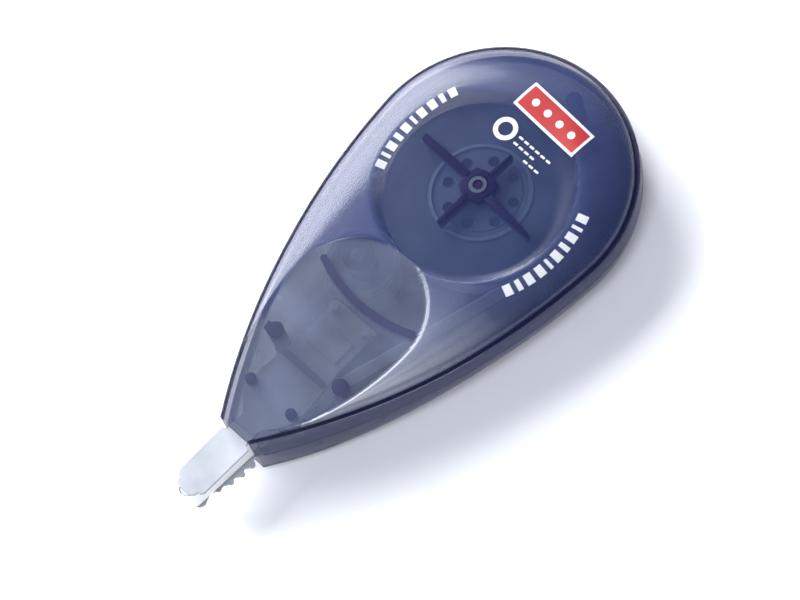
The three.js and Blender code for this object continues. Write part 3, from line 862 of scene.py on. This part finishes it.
# ---- Printed marks: plain panels and dashes in place of the wording ----
def printed(name, corner_grid, material, lift=0.03):
    """A thin printed patch that follows the front skin, from a grid of (x, y)."""
    grid = np.array(corner_grid)
    rows, columns = grid.shape[:2]
    height = skin_height(grid[..., 0], grid[..., 1])
    points = []
    for offset in (-lift, lift):
        points += np.dstack([grid, height + offset]).reshape(-1, 3).tolist()
    faces = []
    total = rows * columns
    for r in range(rows - 1):
        for c in range(columns - 1):
            a, b = r * columns + c, r * columns + c + 1
            d, e = a + columns, b + columns
            faces.append((total + a, total + b, total + e, total + d))
            faces.append((a, d, e, b))
    rim = [(0, c) for c in range(columns - 1)]
    rim += [(r, columns - 1) for r in range(rows - 1)]
    rim += [(rows - 1, c) for c in range(columns - 1, 0, -1)]
    rim += [(r, 0) for r in range(rows - 1, 0, -1)]
    ids = [r * columns + c for r, c in rim]
    for i, a in enumerate(ids):
        b = ids[(i + 1) % len(ids)]
        faces.append((a, b, total + b, total + a))
    return mesh_object(name, points, faces, [material])


def patch(name, centre, size, material, lift=0.03, steps=(8, 20), turn=0.0):
    """A printed rectangle, size (x, y), turned by turn radians about its middle."""
    across = np.linspace(size[0] / 2, -size[0] / 2, steps[0] + 1)
    up = np.linspace(size[1] / 2, -size[1] / 2, steps[1] + 1)
    cos, sin = math.cos(turn), math.sin(turn)
    grid = [[(centre[0] + x * cos - y * sin, centre[1] + x * sin + y * cos) for y in up] for x in across]
    return printed(name, grid, material, lift)


def polar_patch(name, centre, inner, outer, start, end, material, steps=6, lift=0.03):
    radii = np.linspace(inner, outer, 4)
    angles = np.linspace(start, end, steps + 1)
    grid = [[(centre[0] + r * math.cos(a), centre[1] + r * math.sin(a)) for a in angles] for r in radii]
    return printed(name, grid, material, lift)


def panel_label():
    """A plain red panel with a white border and a row of dots."""
    centre, turn = (-14.9, 1.4), math.radians(-3.2)
    border = patch("label_border", centre, (4.7, 12.9), label_white, 0.03, turn=turn)
    keep(border, "housing", slot="white_plastic")
    panel = patch("label_panel", centre, (3.8, 12.0), label_red, 0.05, turn=turn)
    keep(panel, "housing", slot="white_plastic")
    dots = []
    for k in range(4):
        y = 2.6 * (k - 1.5)
        middle = (centre[0] - y * math.sin(turn), centre[1] + y * math.cos(turn))
        dots.append(polar_patch("dot", middle, 0.01, 0.62, 0, 2 * math.pi, label_white, 28, 0.07))
    keep(joined("label_dots", dots), "housing", slot="white_plastic")


def small_marks():
    """A plain ring and three rows of short dashes beside the label."""
    marks = [polar_patch("ring", (-9.2, -3.2), 1.15, 1.9, 0, 2 * math.pi, label_white, 48)]
    for x, y, count in ((-9.6, -0.3, 6), (-8.4, -0.3, 4), (-7.2, 2.9, 3)):
        for k in range(count):
            marks.append(patch("dash", (x + 0.03 * k, y + 1.15 * k), (0.35, 0.8), label_white, 0.03, (1, 2)))
    keep(joined("small_marks", marks), "housing", slot="white_plastic")


def side_dashes():
    """A row of plain blocks along each side."""
    widths = (1.25, 0.8, 1.25, 1.25, 0.55, 1.25, 0.8, 1.25, 0.55, 1.25)
    gap = 0.75
    for name, centre, middle, height in (("right_dashes", (1.0, -5.0), 88.5, 1.7),
                                         ("left_dashes", (-0.5, 7.3), -90.0, 1.5)):
        radius = 22.0
        place = math.radians(middle) - (sum(widths) + gap * (len(widths) - 1)) / 2 / radius
        blocks = []
        for width in widths:
            end = place + width / radius
            blocks.append(polar_patch("block", centre, radius - height / 2, radius + height / 2,
                                      place, end, label_white))
            place = end + gap / radius
        keep(joined(name, blocks), "housing", slot="white_plastic")


supply_axle()
supply_core()
supply_flange()
supply_roll()
supply_drive()
take_up_reel()
tape_runs()
head_frame()
head_cover()
head_roller("feed_guide", "feed_guide", FEED_GUIDE, GUIDE_R)
head_roller("return_guide", "return_guide", RETURN_GUIDE, GUIDE_R)
head_roller("tip", "tip", TIP, TIP_R)
panel_label()
small_marks()
side_dashes()


# ---- Floor, light and camera ----
def look_from(azimuth, elevation, roll, target, distance):
    """A matrix at distance from target. Azimuth 0 looks along +Y, and roll turns the view."""
    az, el, turn = (math.radians(v) for v in (azimuth, elevation, roll))
    back = Vector((math.sin(az) * math.cos(el), -math.cos(az) * math.cos(el), math.sin(el)))
    level = Vector((math.cos(az), math.sin(az), 0))
    upright = back.cross(level)
    right = level * math.cos(turn) - upright * math.sin(turn)
    up = back.cross(right)
    matrix = Matrix((right, up, back)).transposed().to_4x4()
    matrix.translation = Vector(target) + back * distance
    return matrix


def area_light(name, azimuth, elevation, distance, size, power, colour=(1, 1, 1)):
    data = bpy.data.lights.new(name, "AREA")
    data.shape = "RECTANGLE"
    data.size, data.size_y = size
    data.energy = power
    data.color = colour
    lamp = bpy.data.objects.new(name, data)
    lamp.matrix_world = look_from(azimuth, elevation, 0, (0, 0, 0.005), distance)
    bpy.context.scene.collection.objects.link(lamp)
    return lamp


def set_stage():
    bpy.ops.mesh.primitive_plane_add(size=6, location=(0, 0, -0.0001))
    floor = bpy.context.object
    floor.name = "floor"
    floor.data.materials.append(plastic("floor_white", (0.86, 0.87, 0.90), 0.7, bump=0.0, spread=0.01))
    world = bpy.data.worlds.new("soft_world")
    bpy.context.scene.world = world
    world.use_nodes = True
    world.node_tree.nodes["Background"].inputs["Color"].default_value = (0.72, 0.80, 1.0, 1)
    world.node_tree.nodes["Background"].inputs["Strength"].default_value = 0.13
    area_light("side_softbox", 4, 29, 0.45, (0.56, 0.42), 8.2)
    area_light("nose_softbox", 160, 42, 0.50, (0.13, 0.34), 0.8)
    area_light("top_fill", 130, 72, 0.80, (0.25, 0.25), 2.6, (0.86, 0.90, 1.0))
    camera = bpy.data.cameras.new("camera")
    camera.lens = 200
    camera.sensor_width = 36
    camera.clip_end = 10
    seat = bpy.data.objects.new("camera", camera)
    seat.matrix_world = look_from(156.5, 65, 23.4, (0.0003, 0.0015, 0.006), 0.66)
    bpy.context.scene.collection.objects.link(seat)
    bpy.context.scene.camera = seat
    bpy.context.scene.view_settings.view_transform = "Standard"


set_stage()
